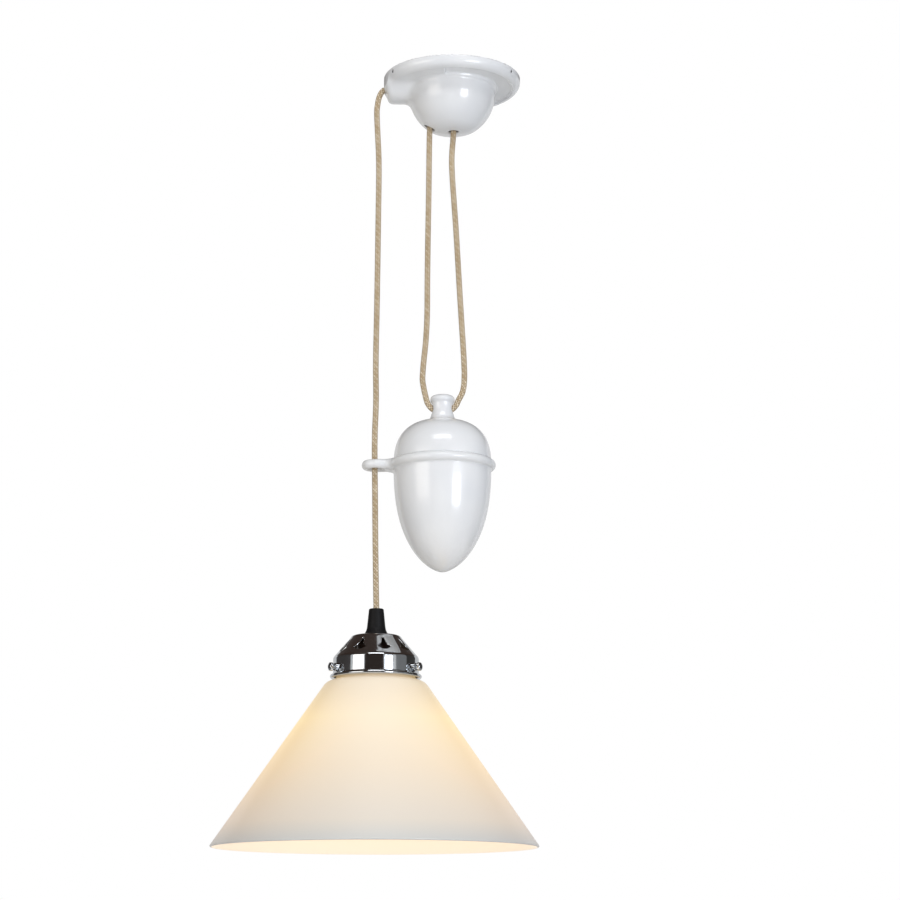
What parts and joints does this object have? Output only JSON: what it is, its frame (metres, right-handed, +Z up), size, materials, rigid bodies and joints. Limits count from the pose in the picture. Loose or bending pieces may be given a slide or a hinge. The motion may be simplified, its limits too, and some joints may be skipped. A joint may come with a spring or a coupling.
{
  "type": "rise and fall pendant light",
  "caption": "Ceiling pendant with china rose, pulley cord and china counterweight that lets a cone-shaped opal glass lamp rise and fall.",
  "frame": {"origin": "centre of the ceiling rose's back plate, on the ceiling plane", "axes": "+Z up out of the ceiling face, lamp and its cord towards -X, front towards -Y"},
  "size_m": [0.33, 0.33, 0.815],
  "materials": {
    "china": "clear glossy glaze over white bone china",
    "zinc_steel": "zinc plated pressed steel",
    "steel_screw": "zinc plated steel",
    "rubber_black": "moulded rubber",
    "brass": "turned brass",
    "white_nylon": "moulded nylon",
    "core_sleeve": "smooth core sleeve",
    "cord_braid": "braided cotton",
    "cement": "matt cement",
    "lead": "loose shot",
    "felt": "pressed felt",
    "grip_black": "smooth moulded plastic",
    "chrome": "polished nickel-chrome plate on brass",
    "bakelite": "moulded bakelite",
    "porcelain": "unglazed porcelain",
    "opal_glass": "glossy opal glass",
    "bulb_glass": "etched glass",
    "bulb_metal": "pressed aluminium",
    "tungsten": "drawn wire"
  },
  "bodies": {
    "rose": {"ceiling_rose": "china", "back_plate": "zinc_steel", "grub_screws": "steel_screw", "supply_grommet": "rubber_black", "earth_screw": "brass", "pulley_yoke": "zinc_steel", "pulley_axle": "steel_screw", "yoke_screws": "steel_screw", "cord_clamp_block": "white_nylon", "cord_clamp_saddle": "white_nylon", "clamp_screws": "steel_screw", "terminal_block": "white_nylon", "terminal_screws": "brass", "core_leads": "core_sleeve", "cord_rose_tail": "cord_braid", "cord_over_pulley": "cord_braid", "strand_fixed": "cord_braid", "strand_running": "cord_braid", "lamp_cord": "cord_braid"},
    "pulley": {"rose_pulley": "brass", "pulley_bush": "brass"},
    "counterweight": {"counterweight_cap": "china", "counterweight_cup": "china", "cement_ring": "cement", "lead_shot": "lead", "felt_wad": "felt", "cord_loop": "cord_braid"},
    "lamp": {"cord_grip": "grip_black", "lamp_cord_end": "cord_braid", "nipple": "brass", "lock_nut": "brass", "gallery": "chrome", "screw_bosses": "chrome", "lampholder_cap": "bakelite", "lampholder_insert": "porcelain", "insert_screws": "brass", "lampholder_body": "bakelite", "thread_shell": "brass", "centre_contact": "brass", "lamp_cores": "core_sleeve", "glass_shade": "opal_glass", "bulb_cap": "bulb_metal", "bulb_contact": "brass", "bulb_glass": "bulb_glass", "bulb_stem": "bulb_glass", "bulb_filament": "tungsten"},
    "thumb_left": {"thumb_screw_left": "chrome"},
    "thumb_right": {"thumb_screw_right": "chrome"},
    "thumb_back": {"thumb_screw_back": "chrome"}
  },
  "joints": [
    {"name": "lamp_slide", "type": "slide", "parent": "rose", "child": "lamp", "axis": [0, 0, -1], "range_m": [-0.06, 0.5], "deforming": ["lamp_cord"]},
    {"name": "counterweight_slide", "type": "slide", "parent": "rose", "child": "counterweight", "axis": [0, 0, 1], "range_m": [-0.03, 0.25], "deforming": ["strand_fixed", "strand_running"]},
    {"name": "pulley_spin", "type": "hinge", "parent": "rose", "child": "pulley", "pos_m": [-0.03, 0, -0.018], "axis": [0, -1, 0], "range_deg": [-320, 2610]},
    {"name": "thumb_left_slide", "type": "slide", "parent": "lamp", "child": "thumb_left", "axis": [-0.866, -0.5, 0], "range_m": [0, 0.004]},
    {"name": "thumb_right_slide", "type": "slide", "parent": "lamp", "child": "thumb_right", "axis": [0.866, -0.5, 0], "range_m": [0, 0.004]},
    {"name": "thumb_back_slide", "type": "slide", "parent": "lamp", "child": "thumb_back", "axis": [0, 1, 0], "range_m": [0, 0.004]}
  ],
  "couplings": [
    {"joint": "counterweight_slide", "follows": "lamp_slide", "ratio": 0.5},
    {"joint": "pulley_spin", "follows": "lamp_slide", "rad_per_m": 90.909}
  ]
}
